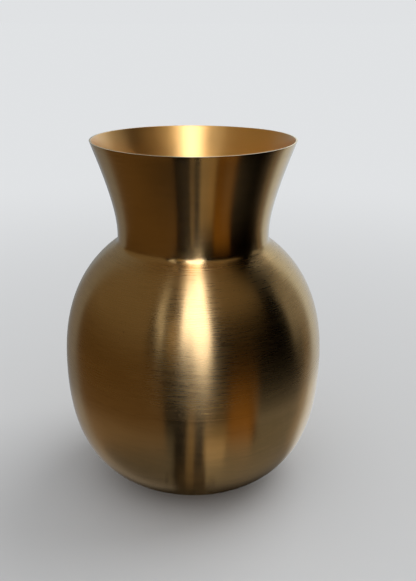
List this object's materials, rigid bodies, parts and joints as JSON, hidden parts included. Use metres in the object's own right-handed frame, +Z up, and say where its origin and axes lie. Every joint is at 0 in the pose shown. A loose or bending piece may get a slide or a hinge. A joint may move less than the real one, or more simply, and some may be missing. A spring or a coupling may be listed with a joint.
{
  "type": "vase",
  "caption": "Round brushed brass vase with a short flared trumpet neck and a plain thin rim, spun from sheet, standing on a flat base with small pads.",
  "frame": {"origin": "centre of the standing surface, under the middle of the base", "axes": "+Z up along the vase's axis, from the base to the mouth; +X and +Y are any two level directions, because the vase is round"},
  "size_m": [0.156, 0.156, 0.2081],
  "materials": {
    "brushed_brass": "brushed round the axis, clear lacquered",
    "satin_brass": "finer satin, brushed round the axis",
    "brass_filler": "dull, as brazed",
    "pad_foam": "matt closed-cell foam"
  },
  "bodies": {
    "root": {"neck": "brushed_brass", "shoulder_shell": "brushed_brass", "lower_bowl": "satin_brass", "neck_braze_bead": "brass_filler", "belly_braze_bead": "brass_filler", "base_pad_1": "pad_foam", "base_pad_2": "pad_foam", "base_pad_3": "pad_foam", "base_pad_4": "pad_foam"}
  },
  "joints": []
}
